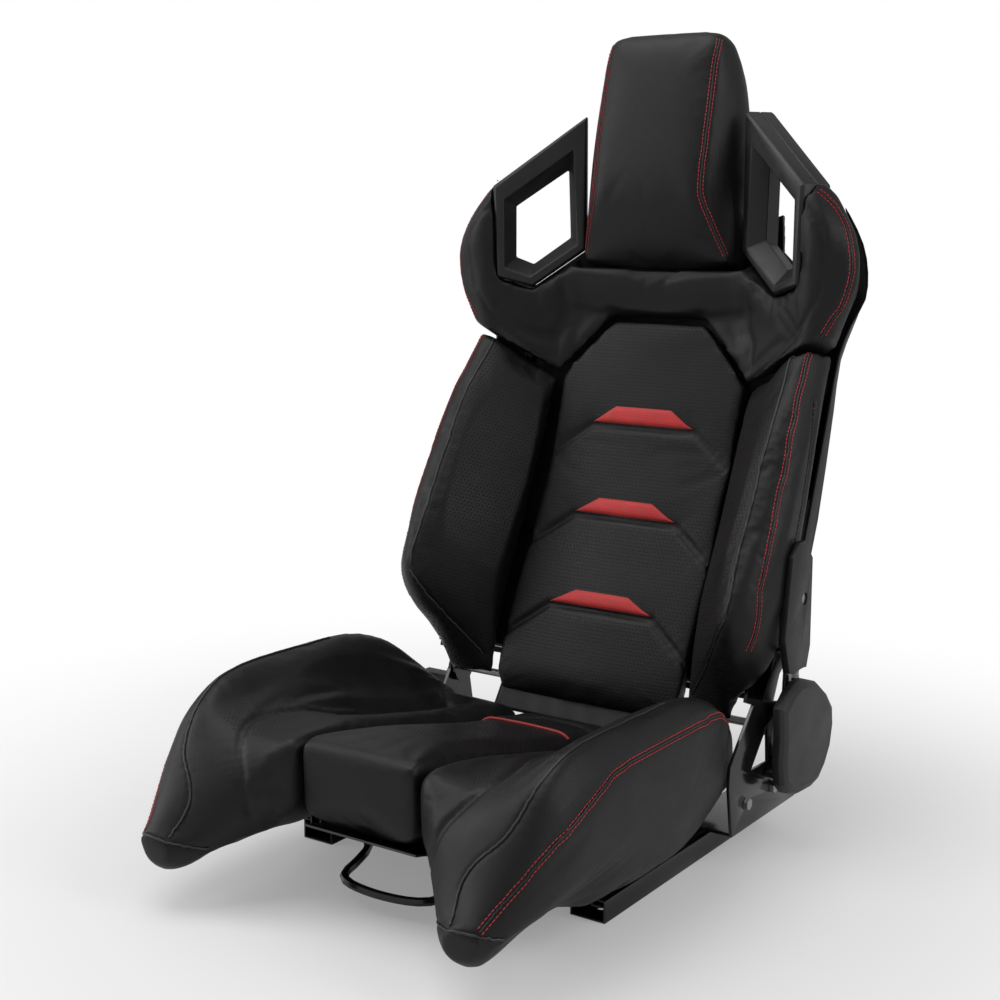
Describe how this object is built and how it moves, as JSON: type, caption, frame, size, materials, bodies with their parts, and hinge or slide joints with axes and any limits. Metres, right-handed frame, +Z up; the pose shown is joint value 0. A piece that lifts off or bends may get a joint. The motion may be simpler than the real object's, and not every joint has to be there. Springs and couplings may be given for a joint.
{
  "type": "racing seat",
  "caption": "Reclining sport seat on sliding floor rails, with deep bolsters, a joined headrest, harness openings in its shoulders and a release bar under the front.",
  "frame": {"origin": "on the floor, under the middle of the seat's bounding box", "axes": "+X towards the occupant's left, +Y towards the back, +Z up; the backrest leans back 22 degrees at rest"},
  "size_m": [0.5744, 0.7946, 0.9492],
  "materials": {
    "black_leatherette": "satin",
    "moulded_plastic": "satin",
    "black_paint": "gloss",
    "zinc_steel": "satin",
    "spring_steel": "satin"
  },
  "bodies": {
    "floor_rails": {"lower_rail_left": "black_paint", "lower_rail_right": "black_paint"},
    "seat_base": {"cushion_bolster_left": "black_leatherette", "cushion_bolster_right": "black_leatherette", "cushion_centre_pad": "black_leatherette", "front_cross_tube": "black_paint", "pivot_bracket": "black_paint", "pivot_bracket_bolt_front": "zinc_steel", "pivot_bracket_bolt_rear": "zinc_steel", "rail_riser_left": "black_paint", "rail_riser_right": "black_paint", "rear_cross_tube": "black_paint", "recliner_bracket": "black_paint", "recliner_bracket_bolt_front": "zinc_steel", "recliner_bracket_bolt_rear": "zinc_steel", "recliner_cover": "moulded_plastic", "recliner_fixed_plate": "zinc_steel", "return_spring": "spring_steel", "riser_bolt_left": "zinc_steel", "riser_bolt_right": "zinc_steel", "seat_pan": "black_paint", "upper_rail_left": "black_paint", "upper_rail_right": "black_paint"},
    "backrest": {"recliner_arm": "black_paint", "arm_cover": "moulded_plastic", "arm_bolt_upper": "zinc_steel", "arm_bolt_lower": "zinc_steel", "side_member_left": "black_paint", "side_member_right": "black_paint", "upper_frame_tube": "black_paint", "lower_back_tube": "black_paint", "lumbar_tube": "black_paint", "backrest_centre_pad": "black_leatherette", "backrest_bolster_left": "black_leatherette", "backrest_bolster_right": "black_leatherette", "harness_bezel_front_left": "moulded_plastic", "harness_bezel_front_right": "moulded_plastic", "harness_bezel_rear_left": "moulded_plastic", "harness_bezel_rear_right": "moulded_plastic", "shoulder_pad": "black_leatherette", "headrest_pad": "black_leatherette", "back_shell": "moulded_plastic", "recliner_moving_plate": "zinc_steel", "pivot_bush": "zinc_steel"},
    "release_lever": {"recliner_lever": "moulded_plastic", "release_rod": "zinc_steel"},
    "slide_handle": {"slide_handle": "black_paint"},
    "roller_cage_left": {"roller_cage_left": "zinc_steel"},
    "roller_cage_right": {"roller_cage_right": "zinc_steel"}
  },
  "joints": [
    {"name": "seat_slide", "type": "slide", "parent": "floor_rails", "child": "seat_base", "axis": [0, 1, 0], "range_m": [-0.08, 0.08]},
    {"name": "backrest_recline", "type": "hinge", "parent": "seat_base", "child": "backrest", "pos_m": [0, 0.18667, 0.128], "axis": [-1, 0, 0], "range_deg": [-22, 58]},
    {"name": "recline_lever", "type": "hinge", "parent": "seat_base", "child": "release_lever", "pos_m": [0, 0.18667, 0.128], "axis": [-1, 0, 0], "range_deg": [0, 28], "stiffness_Nm_per_rad": 2, "springref_deg": -22.92},
    {"name": "slide_release", "type": "hinge", "parent": "seat_base", "child": "slide_handle", "pos_m": [0, -0.12133, 0.0445], "axis": [-1, 0, 0], "range_deg": [0, 10], "stiffness_Nm_per_rad": 3, "springref_deg": -17.19},
    {"name": "roller_cage_left_roll", "type": "slide", "parent": "floor_rails", "child": "roller_cage_left", "axis": [0, 1, 0], "range_m": [-0.04, 0.04]},
    {"name": "roller_cage_right_roll", "type": "slide", "parent": "floor_rails", "child": "roller_cage_right", "axis": [0, 1, 0], "range_m": [-0.04, 0.04]}
  ],
  "couplings": [
    {"joint": "roller_cage_left_roll", "follows": "seat_slide", "ratio": 0.5},
    {"joint": "roller_cage_right_roll", "follows": "seat_slide", "ratio": 0.5}
  ]
}
